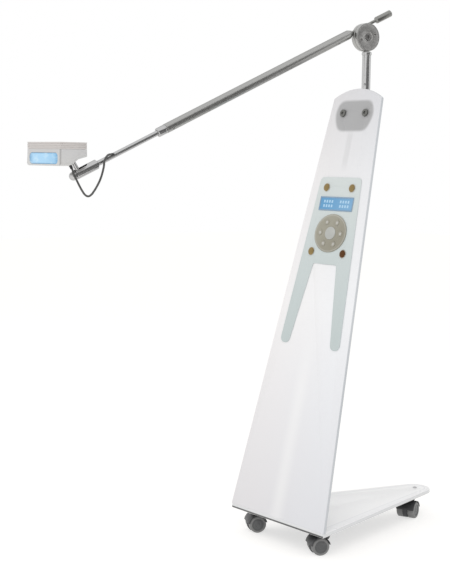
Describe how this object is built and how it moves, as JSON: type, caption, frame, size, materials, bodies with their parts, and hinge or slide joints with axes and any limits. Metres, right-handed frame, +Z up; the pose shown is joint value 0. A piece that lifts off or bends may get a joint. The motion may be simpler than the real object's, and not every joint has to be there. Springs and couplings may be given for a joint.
{
  "type": "teeth whitening lamp",
  "caption": "Floor-standing whitening lamp: leaning tapered panel on a castered base, bent pole and long jointed arm with a blue light head.",
  "frame": {"origin": "on the floor, under the middle of the whole lamp's bounding box seen from above", "axes": "+Z up; the panel's controls and the light head face -Y; +X is to the right of someone who faces the controls"},
  "size_m": [0.4284, 1.292, 1.5302],
  "materials": {
    "acrylic": "frosted white-clear acrylic, polished edges",
    "aluminium": "satin anodised grey",
    "black_plastic": "black moulded",
    "blue_light": "blue lit window",
    "brass": "polished brass",
    "cable": "black cable jacket",
    "caster_plastic": "dark grey moulded",
    "caster_tread": "mid grey moulded",
    "chrome": "polished chrome",
    "circuit": "green circuit board",
    "clamp_grey": "grey paint",
    "cover": "grey-brown satin",
    "fascia": "grey-green film",
    "fibre": "brown friction fibre",
    "housing": "light grey moulded",
    "key": "light grey matt",
    "keypad": "beige matt",
    "pearl": "pearl grey",
    "screen": "blue lit display",
    "steel_plate": "black satin paint",
    "zinc": "bright zinc"
  },
  "bodies": {
    "stand": {"base_sheet": "acrylic", "base_plate": "steel_plate", "deck_screw": "zinc", "front_panel": "acrylic", "foot_bar": "aluminium", "pole": "chrome", "pole_collar": "chrome", "clamp_plate": "clamp_grey", "clamp_bolt_left": "zinc", "clamp_bolt_right": "zinc", "control_fascia": "fascia", "stud_top_left": "brass", "stud_top_right": "brass", "stud_foot_left": "brass", "stud_foot_right": "brass", "display": "screen", "keypad_plate": "keypad", "control_board": "circuit", "rear_housing": "housing", "power_supply": "circuit", "mains_inlet": "black_plastic"},
    "pole_head": {"pole_disc": "aluminium", "friction_washer": "fibre", "pivot_bolt": "zinc", "pivot_nut": "zinc"},
    "arm": {"arm_disc": "aluminium", "arm_tube": "aluminium", "counter_handle": "aluminium"},
    "end_collar": {"tube_collar": "chrome"},
    "rod": {"rod": "chrome", "rod_grommet": "black_plastic", "knuckle": "chrome", "knuckle_cap": "chrome", "head_cable": "cable"},
    "stud": {"ball_stud": "chrome", "head_gland": "black_plastic"},
    "light_head": {"head_case": "pearl", "head_cover": "cover", "light_window": "blue_light", "led_board": "circuit"},
    "switch_rocker": {"power_switch": "black_plastic"},
    "key_1": {"key_1": "key"},
    "key_2": {"key_2": "key"},
    "key_3": {"key_3": "key"},
    "key_4": {"key_4": "key"},
    "key_5": {"key_5": "key"},
    "key_6": {"key_6": "key"},
    "key_centre": {"key_centre": "key"},
    "caster_front_right": {"caster_front_right_hood": "caster_plastic", "caster_front_right_axle": "zinc"},
    "caster_front_right_wheel_right": {"caster_front_right_wheel_right": "caster_tread"},
    "caster_front_right_wheel_left": {"caster_front_right_wheel_left": "caster_tread"},
    "caster_front_left": {"caster_front_left_hood": "caster_plastic", "caster_front_left_axle": "zinc"},
    "caster_front_left_wheel_right": {"caster_front_left_wheel_right": "caster_tread"},
    "caster_front_left_wheel_left": {"caster_front_left_wheel_left": "caster_tread"},
    "caster_rear": {"caster_rear_hood": "caster_plastic", "caster_rear_axle": "zinc"},
    "caster_rear_wheel_right": {"caster_rear_wheel_right": "caster_tread"},
    "caster_rear_wheel_left": {"caster_rear_wheel_left": "caster_tread"}
  },
  "joints": [
    {"name": "arm_swivel", "type": "hinge", "parent": "stand", "child": "pole_head", "pos_m": [0.01574, 0.34285, 1.447], "axis": [0, 0, 1], "range_deg": [-160, 160]},
    {"name": "arm_tilt", "type": "hinge", "parent": "pole_head", "child": "arm", "pos_m": [0.01574, 0.34285, 1.447], "axis": [0.9848, -0.1736, 0], "range_deg": [-70, 34]},
    {"name": "rod_roll", "type": "hinge", "parent": "arm", "child": "end_collar", "pos_m": [-0.10953, -0.28236, 1.17117], "axis": [-0.1564, -0.887, -0.4344], "range_deg": [-100, 100]},
    {"name": "rod_slide", "type": "slide", "parent": "end_collar", "child": "rod", "axis": [-0.1564, -0.887, -0.4344], "range_m": [-0.1, 0.15]},
    {"name": "stud_tilt", "type": "hinge", "parent": "rod", "child": "stud", "pos_m": [-0.15271, -0.52726, 1.05121], "axis": [0.9853, -0.1094, -0.1314], "range_deg": [-35, 6]},
    {"name": "head_spin", "type": "hinge", "parent": "stud", "child": "light_head", "pos_m": [-0.15081, -0.54899, 1.08355], "axis": [0.0487, -0.5571, 0.829], "range_deg": [-60, 60]},
    {"name": "key_1_press", "type": "slide", "parent": "stand", "child": "key_1", "axis": [0, 0.9724, -0.2334], "range_m": [0, 0.001], "stiffness_N_per_m": 800},
    {"name": "key_2_press", "type": "slide", "parent": "stand", "child": "key_2", "axis": [0, 0.9724, -0.2334], "range_m": [0, 0.001], "stiffness_N_per_m": 800},
    {"name": "key_3_press", "type": "slide", "parent": "stand", "child": "key_3", "axis": [0, 0.9724, -0.2334], "range_m": [0, 0.001], "stiffness_N_per_m": 800},
    {"name": "key_4_press", "type": "slide", "parent": "stand", "child": "key_4", "axis": [0, 0.9724, -0.2334], "range_m": [0, 0.001], "stiffness_N_per_m": 800},
    {"name": "key_5_press", "type": "slide", "parent": "stand", "child": "key_5", "axis": [0, 0.9724, -0.2334], "range_m": [0, 0.001], "stiffness_N_per_m": 800},
    {"name": "key_6_press", "type": "slide", "parent": "stand", "child": "key_6", "axis": [0, 0.9724, -0.2334], "range_m": [0, 0.001], "stiffness_N_per_m": 800},
    {"name": "key_centre_press", "type": "slide", "parent": "stand", "child": "key_centre", "axis": [0, 0.9724, -0.2334], "range_m": [0, 0.001], "stiffness_N_per_m": 800},
    {"name": "switch_rock", "type": "hinge", "parent": "stand", "child": "switch_rocker", "pos_m": [-0.03026, 0.2278, 0.79459], "axis": [0, -0.9724, 0.2334], "range_deg": [0, 12]},
    {"name": "caster_front_right_swivel", "type": "hinge", "parent": "stand", "child": "caster_front_right", "pos_m": [0.15074, 0.09337, 0], "axis": [0, 0, 1], "continuous": true},
    {"name": "caster_front_right_wheel_right_roll", "type": "hinge", "parent": "caster_front_right", "child": "caster_front_right_wheel_right", "pos_m": [0.14144, 0.07343, 0.025], "axis": [-0.9063, 0.4226, 0], "continuous": true},
    {"name": "caster_front_right_wheel_left_roll", "type": "hinge", "parent": "caster_front_right", "child": "caster_front_right_wheel_left", "pos_m": [0.14144, 0.07343, 0.025], "axis": [-0.9063, 0.4226, 0], "continuous": true},
    {"name": "caster_front_left_swivel", "type": "hinge", "parent": "stand", "child": "caster_front_left", "pos_m": [-0.11926, 0.09337, 0], "axis": [0, 0, 1], "continuous": true},
    {"name": "caster_front_left_wheel_right_roll", "type": "hinge", "parent": "caster_front_left", "child": "caster_front_left_wheel_right", "pos_m": [-0.12856, 0.07343, 0.025], "axis": [-0.9063, 0.4226, 0], "continuous": true},
    {"name": "caster_front_left_wheel_left_roll", "type": "hinge", "parent": "caster_front_left", "child": "caster_front_left_wheel_left", "pos_m": [-0.12856, 0.07343, 0.025], "axis": [-0.9063, 0.4226, 0], "continuous": true},
    {"name": "caster_rear_swivel", "type": "hinge", "parent": "stand", "child": "caster_rear", "pos_m": [0.03074, 0.56637, 0], "axis": [0, 0, 1], "continuous": true},
    {"name": "caster_rear_wheel_right_roll", "type": "hinge", "parent": "caster_rear", "child": "caster_rear_wheel_right", "pos_m": [0.03898, 0.54597, 0.025], "axis": [-0.9272, -0.3746, 0], "continuous": true},
    {"name": "caster_rear_wheel_left_roll", "type": "hinge", "parent": "caster_rear", "child": "caster_rear_wheel_left", "pos_m": [0.03898, 0.54597, 0.025], "axis": [-0.9272, -0.3746, 0], "continuous": true}
  ]
}
